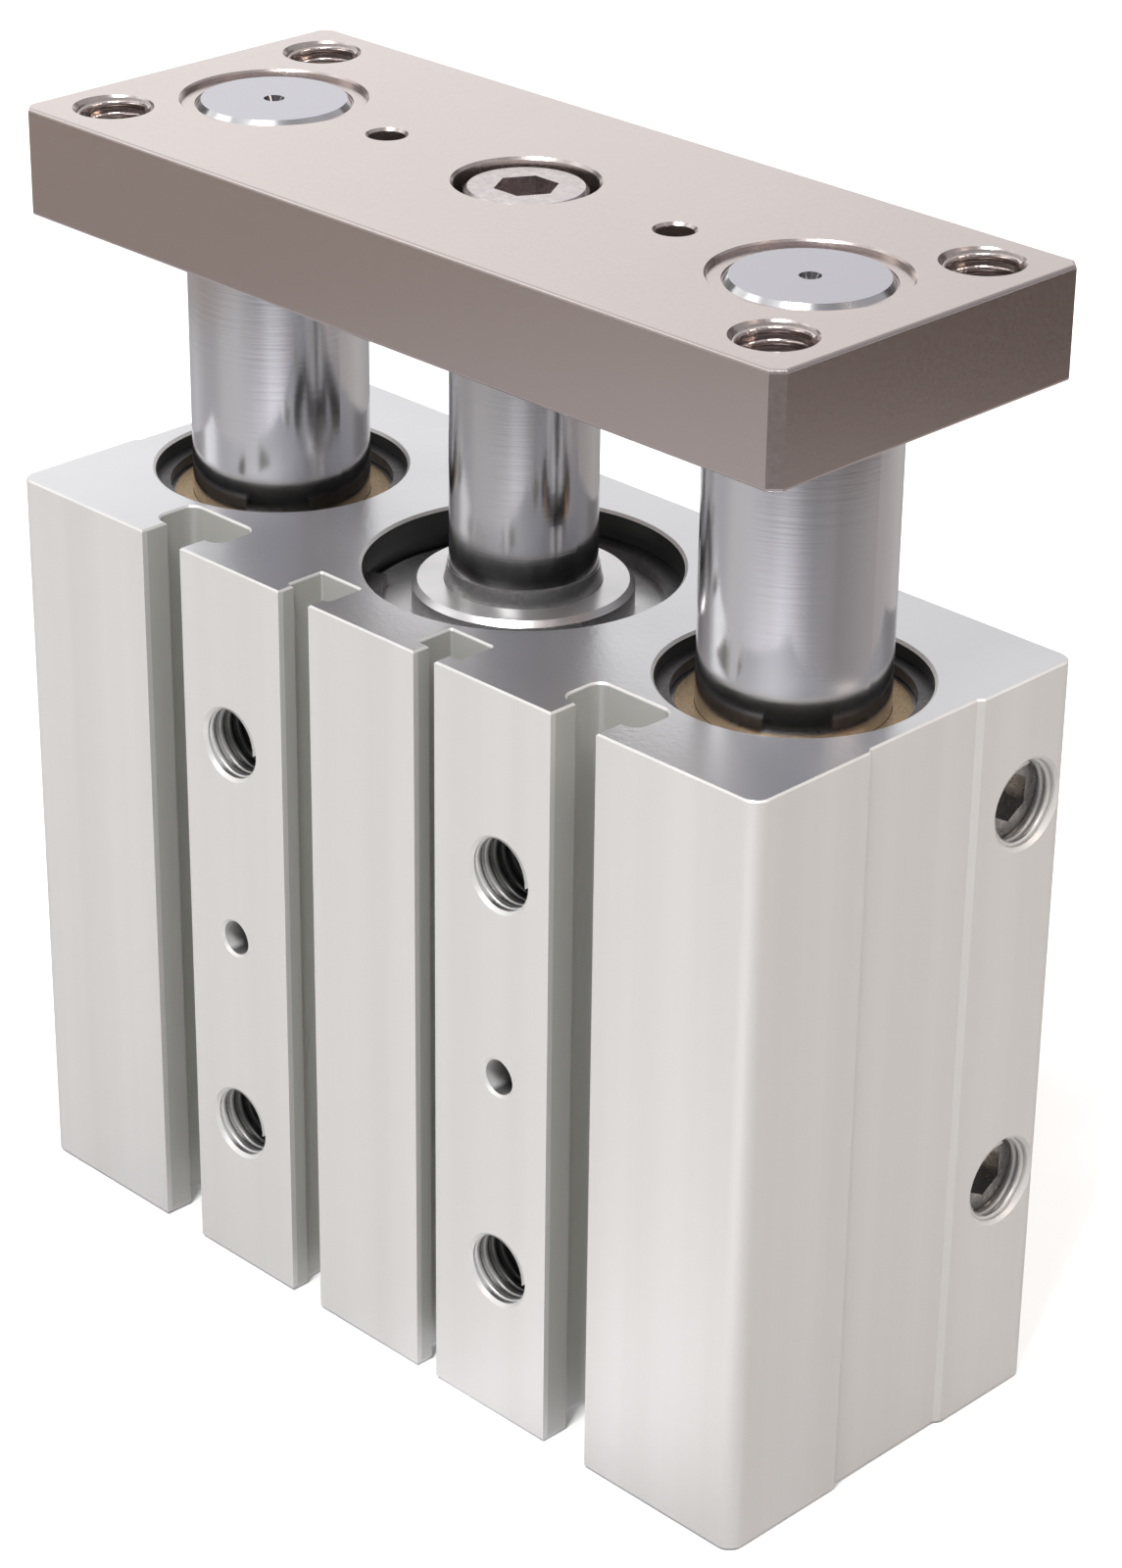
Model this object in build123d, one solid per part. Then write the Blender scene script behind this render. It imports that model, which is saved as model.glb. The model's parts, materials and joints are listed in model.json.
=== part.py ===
from build123d import *
import math
import os

# Guided pneumatic cylinder, millimetres, +Z up, origin at the middle of the body's underside.
# X runs along the long side, the T-slots are on the front, at -Y.

# Working sizes
stroke = 50.0
rest_extension = 20.6          # how far the rods stand out of the body in the modelled position
retracted_gap = 10.0           # plate to body when the rods are fully in
bore_diameter = 32.0
piston_rod_diameter = 16.0
guide_rod_diameter = 20.0
guide_pitch = 78.0
guide_rod_overhang = 15.5      # below the body when the rods are fully in

# Body extrusion
body_width = 112.0
body_depth = 48.0
body_end_length = 37.5         # body height less the stroke
body_corner_radius = 1.8
body_end_chamfer = 0.2
rim_chamfer = 0.3

# T-slots for mounting, at the outer ends of the front
t_slot_pitch = 63.0
t_slot_opening = 6.3
t_slot_lip = 3.5
t_slot_inner_width = 10.5
t_slot_depth = 9.0
t_slot_root_radius = 1.5

# Grooves for position switches, one each side of the middle of the front
switch_groove_pitch = 20.0
left_groove_opening = 4.75
right_groove_opening = 3.1
switch_groove_lip = 2.2
switch_groove_inner_width = 6.2
switch_groove_depth = 6.8
switch_groove_root_radius = 0.3

# Shallow band down each end face
end_band_width = 16.0
end_band_centre = 1.0
end_band_depth = 0.5
end_band_slope = 0.7           # width of each sloping side of the band

# Body mounting holes
front_hole_pitch_x = 42.0
front_hole_pitch_z = 48.0
front_hole_low = 18.5          # lower row above the underside
front_thread_diameter = 8.0
front_thread_depth = 16.0
through_hole_diameter = 6.6
back_counterbore_diameter = 11.0
back_counterbore_depth = 7.5
pin_hole_diameter = 4.0
pin_hole_depth = 6.0
pin_hole_height = 42.5
bottom_hole_inset_x = 7.0      # hole centre in from the body's end face
bottom_hole_inset_y = 9.0      # and from its front and back
bottom_thread_diameter = 8.0
bottom_thread_depth = 16.0
thread_mouth_chamfer = 0.4

# Air ports
port_diameter = 9.7
port_depth = 8.0
back_port_depth = 6.5
side_port_setback = 6.4        # side port centre from the back face
upper_port_drop = 14.5         # below the top face
lower_port_height = 27.6
passage_diameter = 3.0
passage_lift = 1.6             # keeps the cross passage clear of the bolt heads
bore_feed_diameter = 2.5
port_plug_length = 5.0
port_plug_recess = 2.4
port_plug_socket = 5.0         # across flats
port_plug_socket_depth = 3.6

# Plate
plate_width = 110.0
plate_depth = 44.0
plate_thickness = 12.0
plate_corner_chamfer = 1.2
plate_edge_round = 0.4
plate_hole_inset = 7.0         # hole centre in from each edge
plate_thread_diameter = 8.0
plate_pin_pitch = 42.0
plate_pin_depth = 8.0
rod_recess_diameter = 20.2
rod_recess_depth = 0.6
guide_spigot_diameter = 17.2
guide_spigot_rise = 0.45       # spigot above the floor of its recess
guide_spigot_chamfer = 0.65

# Plate bolt
bolt_diameter = 8.0
bolt_head_diameter = 13.0
bolt_head_height = 8.0
bolt_engagement = 14.0         # length screwed into the rod
bolt_socket = 6.0              # across flats
bolt_socket_depth = 4.5
bolt_counterbore_diameter = 15.1
bolt_counterbore_depth = 8.6
bolt_clearance = 0.4           # round the shank in the plate

# Rods
rod_end_chamfer = 1.0
spigot_chamfer = 0.4
centre_mark_diameter = 2.2
centre_mark_depth = 1.9
piston_spigot_diameter = 10.0

# Collar, the bearing and seal carrier where the piston rod comes out
collar_drop = 4.7              # flange below the top face
collar_flange_thickness = 2.5
collar_seat_step = 1.3         # counterbore wall outside the bore wall
collar_boss_diameter = 24.0
collar_boss_drop = 1.6         # boss top below the top face
collar_boss_chamfer = 0.6
collar_neck_length = 0.9       # the lip of the boss that holds the seal in
rod_seal_width = 4.0
rod_seal_wall = 2.6            # radial, inside the collar
wiper_rise = 1.9               # wiper lip above the boss top
wiper_wall = 0.55              # at the lip's foot
wiper_tip_wall = 0.15
seal_lip_depth = 0.7

# Head cover, the plug that closes the lower end of the bore
head_cover_thickness = 6.0
head_cover_pocket_diameter = 14.0
head_cover_pocket_depth = 2.5

# Retaining rings, flat spring rings with a gap
ring_gap_angle = 50.0
collar_ring_thickness = 1.5
collar_ring_width = 2.0
collar_ring_groove = 0.7
collar_ring_gap_towards = 185.0
head_ring_thickness = 1.4
head_ring_width = 2.2
head_ring_groove = 0.9
head_ring_recess = 2.0         # ring above the underside
guide_ring_thickness = 1.2
guide_ring_width = 1.6
guide_ring_groove = 0.5
guide_ring_drop = 1.7
guide_ring_gap_towards = -45.0

# Static O-rings
o_ring_section = 2.0
o_ring_squeeze = 0.85          # share of the section left when seated

# Bumpers
bumper_thickness = 1.5
bumper_wall_gap = 0.5
collar_bumper_bore = 18.0
head_bumper_bore = 12.0

# Guide bearings and wipers
bush_wall = 2.5
bush_length = 40.0
guide_mouth_wall = 4.2         # mouth of the guide bore outside the rod
guide_mouth_depth = 7.0
guide_relief = 1.0             # lower guide bore outside the rod
felt_wall = 2.1
felt_height = 3.1
felt_holder_lip = 0.9
bush_chamfer = 0.5

# Piston
piston_length = 12.5
piston_seal_width = 3.0
piston_seal_depth = 2.6
piston_seal_from_top = 2.2
magnet_width = 3.2
magnet_depth = 2.6
magnet_from_bottom = 2.4
piston_edge_chamfer = 0.6

# Clearances
slide_clearance = 0.04         # radial, between pieces that move
seat_clearance = 0.02          # radial or axial, between pieces that are fixed
end_clearance = 0.05           # piston to bumper at each end of the stroke

# Heights
body_height = body_end_length + stroke
plate_bottom = body_height + retracted_gap + rest_extension
plate_top = plate_bottom + plate_thickness
head_cover_bottom = head_ring_recess + head_ring_thickness + seat_clearance
head_cover_top = head_cover_bottom + head_cover_thickness
piston_retracted = head_cover_top + bumper_thickness + end_clearance
piston_bottom = piston_retracted + rest_extension
piston_top = piston_bottom + piston_length
collar_bumper_bottom = piston_retracted + piston_length + stroke + end_clearance
collar_bottom = collar_bumper_bottom + bumper_thickness
collar_flange_top = body_height - collar_drop
collar_seat = collar_flange_top - collar_flange_thickness
collar_boss_top = body_height - collar_boss_drop
guide_seat = body_height - guide_mouth_depth
bush_bottom = guide_seat - bush_length
guide_rod_bottom = rest_extension - guide_rod_overhang
upper_port_height = body_height - upper_port_drop

# Radii and places
bore_radius = bore_diameter / 2
rod_radius = piston_rod_diameter / 2
guide_radius = guide_rod_diameter / 2
guide_x = guide_pitch / 2
front = -body_depth / 2
back = body_depth / 2
right_end = body_width / 2
collar_seat_radius = bore_radius + collar_seat_step
guide_mouth_radius = guide_radius + guide_mouth_wall
bush_radius = guide_radius + bush_wall
felt_radius = guide_radius + felt_wall
side_port_y = back - side_port_setback
holder_height = felt_height + felt_holder_lip

FROM_BELOW = (Align.CENTER, Align.CENTER, Align.MIN)


def turned(*profile):
    """A lathe-turned solid from (radius, height) points."""
    outline = Polyline(*[(r, 0, z) for r, z in profile], close=True)
    return revolve(make_face(outline), Axis.Z)


def disc(radius, low, high, x=0.0, y=0.0):
    """An upright cylinder between two heights."""
    return Pos(x, y, low) * Cylinder(radius, high - low, align=FROM_BELOW)


def bored(place, direction, radius, depth, mouth=0.0):
    """A drilled hole that starts at place and runs along direction, with a chamfered mouth."""
    hole = Cylinder(radius, depth, align=FROM_BELOW)
    if mouth:
        hole += Cone(radius + mouth, radius, mouth, align=FROM_BELOW)
    return Plane(origin=place, z_dir=direction) * hole


def hex_socket(across_flats, depth):
    """The recess for a hexagon key, from z = 0 downwards."""
    return extrude(RegularPolygon(across_flats / 2, 6, major_radius=False), -depth)


def spring_ring(outer, inner, low, thickness, gap_towards, x=0.0):
    """A flat ring with a gap, which springs into a groove."""
    ring = Circle(outer) - Circle(inner)
    half = math.radians(ring_gap_angle / 2)
    reach = outer * 1.5
    gap = Polygon((0, 0), (reach * math.cos(half), -reach * math.sin(half)),
                  (reach * math.cos(half), reach * math.sin(half)), align=None)
    ring -= Rot(0, 0, gap_towards) * gap
    return Pos(x, 0, low) * extrude(ring, thickness)


def corner_grid(pitch_x, pitch_y):
    """The four corners of a hole pattern."""
    return [(sx * pitch_x / 2, sy * pitch_y / 2) for sx in (-1, 1) for sy in (-1, 1)]


def slot_profile(centre, opening, lip, inner_width, depth, root_radius):
    """The undercut slot that the extrusion die leaves in the front face."""
    neck = Pos(centre, front + lip / 2) * Rectangle(opening, lip + root_radius * 2)
    hall = Pos(centre, front + (lip + depth) / 2) * Rectangle(inner_width, depth - lip)
    hall = fillet(hall.vertices(), root_radius)
    return neck + hall


def body_profile():
    """The cross-section of the extrusion, before its bores."""
    profile = RectangleRounded(body_width, body_depth, body_corner_radius)
    for side in (-1, 1):
        profile -= slot_profile(side * t_slot_pitch / 2, t_slot_opening, t_slot_lip,
                                t_slot_inner_width, t_slot_depth, t_slot_root_radius)
        band = Polygon((0, -end_band_width / 2 - end_band_slope),
                       (-end_band_depth, -end_band_width / 2),
                       (-end_band_depth, end_band_width / 2),
                       (0, end_band_width / 2 + end_band_slope), align=None)
        band = band if side > 0 else mirror(band, Plane.YZ)
        profile -= Pos(side * right_end, end_band_centre) * band
    for side, opening in ((-1, left_groove_opening), (1, right_groove_opening)):
        profile -= slot_profile(side * switch_groove_pitch / 2, opening, switch_groove_lip,
                                switch_groove_inner_width, switch_groove_depth,
                                switch_groove_root_radius)
    return profile


def air_circuit(height, feed_height):
    """Side port, back port, the passage that joins them and the feed into the bore."""
    port_radius = port_diameter / 2
    side = bored((right_end, side_port_y, height), (-1, 0, 0), port_radius, port_depth,
                 thread_mouth_chamfer)
    rear = bored((0, back, height), (0, -1, 0), port_radius, back_port_depth,
                 thread_mouth_chamfer)
    cross = bored((right_end - port_depth / 2, side_port_y, height + passage_lift), (-1, 0, 0),
                  passage_diameter / 2, right_end - port_depth / 2 - port_radius / 2)
    start = Vector(0, back - back_port_depth / 2, height)
    finish = Vector(0, bore_radius - bore_feed_diameter / 2, feed_height)
    run = finish - start
    feed = bored(start, run.normalized(), bore_feed_diameter / 2, run.length)
    return [side, rear, cross, feed]


def make_body():
    solid = extrude(body_profile(), body_height)
    ends = solid.faces().filter_by(Axis.Z)
    solid = chamfer([edge for face in ends for edge in face.outer_wire().edges()],
                    body_end_chamfer)

    # Centre bore: underside mouth, ring groove, bore, collar seat and its ring groove
    cuts = [disc(bore_radius, -1, body_height + 1)]
    cuts.append(disc(collar_seat_radius, collar_seat, body_height + 1))
    cuts.append(disc(collar_seat_radius + collar_ring_groove, collar_flange_top,
                     collar_flange_top + collar_ring_thickness + 2 * seat_clearance))
    cuts.append(disc(bore_radius + head_ring_groove, head_ring_recess - seat_clearance,
                     head_cover_bottom))

    # Guide bores: bush bore, mouth with its ring groove, and relief down to the underside
    ring_top = body_height - guide_ring_drop
    for side in (-1, 1):
        x = side * guide_x
        cuts.append(disc(guide_radius + guide_relief, -1, body_height, x))
        cuts.append(disc(bush_radius, bush_bottom, body_height, x))
        cuts.append(disc(guide_mouth_radius, guide_seat, body_height + 1, x))
        cuts.append(disc(guide_mouth_radius + guide_ring_groove,
                         ring_top - guide_ring_thickness - seat_clearance,
                         ring_top + seat_clearance, x))

    # Front and back holes
    for x, z in corner_grid(front_hole_pitch_x, front_hole_pitch_z):
        z += front_hole_low + front_hole_pitch_z / 2
        cuts.append(bored((x, front, z), (0, 1, 0), front_thread_diameter / 2,
                          front_thread_depth, thread_mouth_chamfer))
        cuts.append(bored((x, front, z), (0, 1, 0), through_hole_diameter / 2, body_depth))
        cuts.append(bored((x, back, z), (0, -1, 0), back_counterbore_diameter / 2,
                          back_counterbore_depth, rim_chamfer))
    for side in (-1, 1):
        x = side * front_hole_pitch_x / 2
        for y, inward in ((front, 1), (back, -1)):
            cuts.append(bored((x, y, pin_hole_height), (0, inward, 0), pin_hole_diameter / 2,
                              pin_hole_depth, rim_chamfer))

    # Underside threads and air ports
    for x, y in corner_grid(body_width - 2 * bottom_hole_inset_x,
                            body_depth - 2 * bottom_hole_inset_y):
        cuts.append(bored((x, y, 0), (0, 0, 1), bottom_thread_diameter / 2,
                          bottom_thread_depth, thread_mouth_chamfer))
    cuts += air_circuit(upper_port_height, collar_bottom - bumper_thickness / 2)
    cuts += air_circuit(lower_port_height, head_cover_top + bumper_thickness)

    for cut in cuts:
        solid -= cut

    # Broken rims where the bores meet the end faces
    for low, sign in ((body_height, -1), (0, 1)):
        mouths = [(0.0, collar_seat_radius if sign < 0 else bore_radius)]
        mouth = guide_mouth_radius if sign < 0 else guide_radius + guide_relief
        mouths += [(-guide_x, mouth), (guide_x, mouth)]
        for x, radius in mouths:
            solid -= bored((x, 0, low), (0, 0, sign), radius, rim_chamfer, rim_chamfer)
    return solid


def groove_for(o_ring_centre, outer):
    """The corners of an O-ring's groove turned into an outside diameter."""
    half = o_ring_section * 0.6
    depth = o_ring_section * o_ring_squeeze
    return [(outer, o_ring_centre - half), (outer - depth, o_ring_centre - half),
            (outer - depth, o_ring_centre + half), (outer, o_ring_centre + half)]


def make_collar():
    outer = bore_radius - seat_clearance
    flange = collar_seat_radius - seat_clearance
    inner = rod_radius + slide_clearance
    boss = collar_boss_diameter / 2
    seal_outer = rod_radius + rod_seal_wall
    seal_top = collar_boss_top - collar_neck_length
    seal_bottom = seal_top - rod_seal_width
    neck = rod_radius + wiper_wall + seat_clearance
    groove_centre = (collar_bottom + collar_seat) / 2
    return turned(
        (inner, collar_bottom), (outer, collar_bottom), *groove_for(groove_centre, outer),
        (outer, collar_seat), (flange, collar_seat), (flange, collar_flange_top),
        (boss, collar_flange_top), (boss, collar_boss_top - collar_boss_chamfer),
        (boss - collar_boss_chamfer, collar_boss_top), (neck, collar_boss_top),
        (neck, seal_top), (seal_outer, seal_top), (seal_outer, seal_bottom), (inner, seal_bottom))


def make_rod_seal():
    """The seal in the collar's groove, with the wiper lip that stands up round the rod."""
    inner = rod_radius + slide_clearance
    outer = rod_radius + rod_seal_wall - seat_clearance
    top = collar_boss_top - collar_neck_length - seat_clearance
    bottom = top - rod_seal_width + 2 * seat_clearance
    neck = rod_radius + wiper_wall
    tip = inner + wiper_tip_wall
    return turned((inner, bottom), (outer, bottom), (outer, top), (neck, top),
                  (neck, collar_boss_top), (tip, collar_boss_top + wiper_rise),
                  (inner, collar_boss_top + wiper_rise))


def make_head_cover():
    outer = bore_radius - seat_clearance
    pocket = head_cover_pocket_diameter / 2
    floor = head_cover_bottom + head_cover_pocket_depth
    centre = (head_cover_bottom + head_cover_top) / 2
    return turned((0, floor), (pocket, floor), (pocket, head_cover_bottom),
                  (outer, head_cover_bottom), *groove_for(centre, outer),
                  (outer, head_cover_top), (0, head_cover_top))


def make_o_ring(centre):
    """A seated O-ring: a square-shouldered section with rounded corners, as squeezed."""
    outer = bore_radius - 2 * seat_clearance
    depth = o_ring_section * o_ring_squeeze - 2 * seat_clearance
    half = o_ring_section * 0.6 - seat_clearance
    corner = depth * 0.3
    section = Pos(outer - depth / 2, centre) * RectangleRounded(depth, 2 * half, corner)
    return revolve(Plane.XZ * section, Axis.Z)


def make_bumper(low, inner):
    outer = bore_radius - bumper_wall_gap
    return turned((inner, low), (outer, low), (outer, low + bumper_thickness),
                  (inner, low + bumper_thickness))


def make_bush(x):
    inner = guide_radius + slide_clearance
    outer = bush_radius - seat_clearance
    low = bush_bottom
    high = guide_seat - seat_clearance
    bush = turned(
        (inner + bush_chamfer, low), (outer - bush_chamfer, low), (outer, low + bush_chamfer),
        (outer, high - bush_chamfer), (outer - bush_chamfer, high), (inner + bush_chamfer, high),
        (inner, high - bush_chamfer), (inner, low + bush_chamfer))
    return Pos(x, 0, 0) * bush


def make_felt_holder(x):
    """The cup that keeps the felt round the guide rod."""
    outer = guide_mouth_radius - seat_clearance
    wall = felt_radius + seat_clearance
    lip = guide_radius + bush_chamfer
    low = guide_seat
    floor = low + felt_holder_lip
    high = low + holder_height
    holder = turned((lip, low), (outer, low), (outer, high), (wall, high), (wall, floor),
                    (lip, floor))
    return Pos(x, 0, 0) * holder


def make_felt(x):
    low = guide_seat + felt_holder_lip
    inner = guide_radius + slide_clearance
    return Pos(x, 0, 0) * (disc(felt_radius, low, low + felt_height)
                           - disc(inner, low - 1, low + felt_height + 1))


def make_port_plugs():
    plugs = []
    for height in (upper_port_height, lower_port_height):
        plug = Cylinder(port_diameter / 2 - seat_clearance, port_plug_length,
                        align=(Align.CENTER, Align.CENTER, Align.MAX))
        plug = chamfer(plug.edges().group_by(Axis.Z)[-1], spigot_chamfer)
        plug -= hex_socket(port_plug_socket, port_plug_socket_depth)
        seat = Plane(origin=(right_end - port_plug_recess, side_port_y, height),
                     x_dir=(0, 0, 1), z_dir=(1, 0, 0))
        plugs.append(seat * plug)
    return plugs[0] + plugs[1]


def make_plate():
    plate = Box(plate_width, plate_depth, plate_thickness, align=FROM_BELOW)
    plate = chamfer(plate.edges().filter_by(Axis.Z), plate_corner_chamfer)
    ends = plate.faces().filter_by(Axis.Z)
    plate = fillet([edge for face in ends for edge in face.outer_wire().edges()],
                   plate_edge_round)
    top = plate_thickness
    for x, y in corner_grid(plate_width - 2 * plate_hole_inset, plate_depth - 2 * plate_hole_inset):
        for z, sign in ((top, -1), (0, 1)):
            plate -= bored((x, y, z), (0, 0, sign), plate_thread_diameter / 2, top,
                           thread_mouth_chamfer)
    for side in (-1, 1):
        x = side * plate_pin_pitch / 2
        plate -= bored((x, 0, top), (0, 0, -1), pin_hole_diameter / 2, plate_pin_depth,
                       rim_chamfer)
        x = side * guide_x
        plate -= disc(guide_spigot_diameter / 2 + seat_clearance, -1, top + 1, x)
        plate -= bored((x, 0, top), (0, 0, -1), rod_recess_diameter / 2, rod_recess_depth,
                       rod_recess_depth / 3)
    plate -= disc(bolt_diameter / 2 + bolt_clearance, -1, top)
    plate -= bored((0, 0, top), (0, 0, -1), bolt_counterbore_diameter / 2,
                   bolt_counterbore_depth, rim_chamfer)
    return Pos(0, 0, plate_bottom) * plate


def make_guide_rod(x):
    """A plain ground rod with a shouldered spigot that fills the plate's hole."""
    low = guide_rod_bottom
    high = plate_top - rod_recess_depth + guide_spigot_rise
    spigot = guide_spigot_diameter / 2
    mark = centre_mark_diameter / 2
    rod = turned(
        (0, low + centre_mark_depth), (mark, low), (guide_radius - rod_end_chamfer, low),
        (guide_radius, low + rod_end_chamfer), (guide_radius, plate_bottom),
        (spigot, plate_bottom), (spigot, high - guide_spigot_chamfer),
        (spigot - guide_spigot_chamfer, high), (mark, high), (0, high - centre_mark_depth))
    return Pos(x, 0, 0) * rod


def make_piston_rod():
    """The chromed rod: a spigot through the piston below, a threaded hole above."""
    spigot = piston_spigot_diameter / 2
    thread = bolt_diameter / 2
    thread_floor = plate_bottom - bolt_engagement - bolt_diameter / 2
    return turned(
        (0, piston_bottom), (spigot - spigot_chamfer, piston_bottom),
        (spigot, piston_bottom + spigot_chamfer), (spigot, piston_top), (rod_radius, piston_top),
        (rod_radius, plate_bottom - spigot_chamfer), (rod_radius - spigot_chamfer, plate_bottom),
        (thread, plate_bottom), (thread, thread_floor), (0, thread_floor - thread / 2))


def make_plate_bolt():
    shank = bolt_diameter / 2 - seat_clearance
    head = bolt_head_diameter / 2
    seat = plate_top - bolt_counterbore_depth
    tip = plate_bottom - bolt_engagement
    high = seat + bolt_head_height
    bolt = turned(
        (0, tip), (shank - spigot_chamfer, tip), (shank, tip + spigot_chamfer), (shank, seat),
        (head, seat), (head, high - spigot_chamfer), (head - spigot_chamfer, high), (0, high))
    return bolt - Pos(0, 0, high) * hex_socket(bolt_socket, bolt_socket_depth)


def make_piston():
    outer = bore_radius - slide_clearance
    inner = piston_spigot_diameter / 2 + seat_clearance
    edge = piston_edge_chamfer
    seal_high = piston_top - piston_seal_from_top
    seal_low = seal_high - piston_seal_width
    magnet_low = piston_bottom + magnet_from_bottom
    magnet_high = magnet_low + magnet_width
    return turned(
        (inner, piston_bottom), (outer - edge, piston_bottom), (outer, piston_bottom + edge),
        (outer, magnet_low), (outer - magnet_depth, magnet_low),
        (outer - magnet_depth, magnet_high), (outer, magnet_high),
        (outer, seal_low), (outer - piston_seal_depth, seal_low),
        (outer - piston_seal_depth, seal_high), (outer, seal_high),
        (outer, piston_top - edge), (outer - edge, piston_top), (inner, piston_top))


def make_piston_seal():
    outer = bore_radius - slide_clearance / 2
    inner = bore_radius - slide_clearance - piston_seal_depth + seat_clearance
    high = piston_top - piston_seal_from_top - seat_clearance
    low = high - piston_seal_width + 2 * seat_clearance
    waist = outer - seal_lip_depth
    return turned((inner, low), (outer, low), (waist, (low + high) / 2), (outer, high),
                  (inner, high))


def make_piston_magnet():
    outer = bore_radius - slide_clearance - spigot_chamfer
    inner = bore_radius - slide_clearance - magnet_depth + seat_clearance
    low = piston_bottom + magnet_from_bottom + seat_clearance
    high = low + magnet_width - 2 * seat_clearance
    return turned((inner, low), (outer, low), (outer, high), (inner, high))


collar_ring_outer = collar_seat_radius + collar_ring_groove - seat_clearance
head_ring_outer = bore_radius + head_ring_groove - seat_clearance
guide_ring_outer = guide_mouth_radius + guide_ring_groove - seat_clearance
guide_ring_bottom = body_height - guide_ring_drop - guide_ring_thickness

pieces = {
    "cylinder_body": make_body(),
    "collar": make_collar(),
    "collar_retaining_ring": spring_ring(
        collar_ring_outer, collar_ring_outer - collar_ring_groove - collar_ring_width,
        collar_flange_top + seat_clearance, collar_ring_thickness, collar_ring_gap_towards),
    "collar_o_ring": make_o_ring((collar_bottom + collar_seat) / 2),
    "collar_bumper": make_bumper(collar_bumper_bottom, collar_bumper_bore / 2),
    "rod_seal": make_rod_seal(),
    "head_cover": make_head_cover(),
    "head_cover_retaining_ring": spring_ring(
        head_ring_outer, head_ring_outer - head_ring_groove - head_ring_width,
        head_ring_recess, head_ring_thickness, guide_ring_gap_towards),
    "head_cover_o_ring": make_o_ring((head_cover_bottom + head_cover_top) / 2),
    "head_bumper": make_bumper(head_cover_top, head_bumper_bore / 2),
    "side_port_plugs": make_port_plugs(),
    "plate": make_plate(),
    "plate_bolt": make_plate_bolt(),
    "piston_rod": make_piston_rod(),
    "piston": make_piston(),
    "piston_seal": make_piston_seal(),
    "piston_magnet": make_piston_magnet(),
}
for name, x in (("left", -guide_x), ("right", guide_x)):
    pieces[name + "_guide_rod"] = make_guide_rod(x)
    pieces[name + "_guide_bush"] = make_bush(x)
    pieces[name + "_felt"] = make_felt(x)
    pieces[name + "_felt_holder"] = make_felt_holder(x)
    pieces[name + "_guide_retaining_ring"] = spring_ring(
        guide_ring_outer, guide_ring_outer - guide_ring_groove - guide_ring_width,
        guide_ring_bottom, guide_ring_thickness, guide_ring_gap_towards, x)

os.makedirs("parts", exist_ok=True)
for name, piece in pieces.items():
    export_step(piece, f"parts/{name}.step")
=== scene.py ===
import bpy
import bmesh
import json
import math
from mathutils import Matrix, Vector


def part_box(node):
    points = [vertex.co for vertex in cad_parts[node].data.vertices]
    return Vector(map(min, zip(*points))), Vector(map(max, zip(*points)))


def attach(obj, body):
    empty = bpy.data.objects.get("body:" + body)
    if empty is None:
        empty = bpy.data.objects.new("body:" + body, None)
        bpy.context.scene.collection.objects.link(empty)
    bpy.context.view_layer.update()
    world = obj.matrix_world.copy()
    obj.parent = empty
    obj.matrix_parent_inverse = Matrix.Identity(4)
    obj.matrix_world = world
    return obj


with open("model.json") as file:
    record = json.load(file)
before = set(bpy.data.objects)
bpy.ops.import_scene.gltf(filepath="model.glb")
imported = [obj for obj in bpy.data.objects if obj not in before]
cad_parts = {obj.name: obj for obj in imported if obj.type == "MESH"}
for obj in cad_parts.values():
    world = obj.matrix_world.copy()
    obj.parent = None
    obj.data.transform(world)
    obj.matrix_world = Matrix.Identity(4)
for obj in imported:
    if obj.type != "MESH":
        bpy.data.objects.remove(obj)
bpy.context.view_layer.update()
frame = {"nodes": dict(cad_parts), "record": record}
nodes = frame["nodes"]
record = frame["record"]
mm = 0.001
guideX = 39.0 * mm              # from the middle of the body to each guide rod
print("frame loaded:", len(nodes), "nodes")

bodyLow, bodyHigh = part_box("cylinder_body")
plateLow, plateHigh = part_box("plate")


# Camera: the place and angles that the photograph was taken from
cameraView = {
    "azimuth": 44.821,          # degrees round from the front towards the right
    "elevation": 26.647,
    "roll": 0.703,
    "place": (0.284006, -0.279696, 0.261141),
    "focalPixels": 4146.0,      # for the frame's long side of 1600 pixels
    "longSide": 1600.0,
    "sensor": 36.0,
}


def addCamera(view):
    az, el, roll = (math.radians(view[k]) for k in ("azimuth", "elevation", "roll"))
    forward = Vector((-math.sin(az) * math.cos(el), math.cos(az) * math.cos(el), -math.sin(el)))
    level = Vector((math.cos(az), math.sin(az), 0))
    upright = level.cross(forward)
    right = math.cos(roll) * level + math.sin(roll) * upright
    up = math.cos(roll) * upright - math.sin(roll) * level
    data = bpy.data.cameras.new("camera")
    data.sensor_width = view["sensor"]
    data.lens = view["focalPixels"] * view["sensor"] / view["longSide"]
    data.clip_start = 0.01
    camera = bpy.data.objects.new("camera", data)
    turn = Matrix((right, up, -forward)).transposed().to_4x4()
    camera.matrix_world = Matrix.Translation(view["place"]) @ turn
    bpy.context.scene.collection.objects.link(camera)
    bpy.context.scene.camera = camera


addCamera(cameraView)
print("camera set")


# Material helpers
def newMaterial(name):
    mat = bpy.data.materials.new(name)
    mat.use_nodes = True
    shader = mat.node_tree.nodes["Principled BSDF"]
    return mat, mat.node_tree, shader


def addNode(tree, kind, inputs=None, **settings):
    node = tree.nodes.new(kind)
    for key, value in settings.items():
        setattr(node, key, value)
    for key, value in (inputs or {}).items():
        if isinstance(value, bpy.types.NodeSocket):
            tree.links.new(value, node.inputs[key])
        else:
            node.inputs[key].default_value = value
    return node


def objectCoordinates(tree, scale=(1, 1, 1), turn=(0, 0, 0)):
    source = addNode(tree, "ShaderNodeTexCoord")
    mapping = addNode(tree, "ShaderNodeMapping", {"Vector": source.outputs["Object"]})
    mapping.inputs["Scale"].default_value = scale
    mapping.inputs["Rotation"].default_value = turn
    return mapping.outputs["Vector"]


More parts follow.
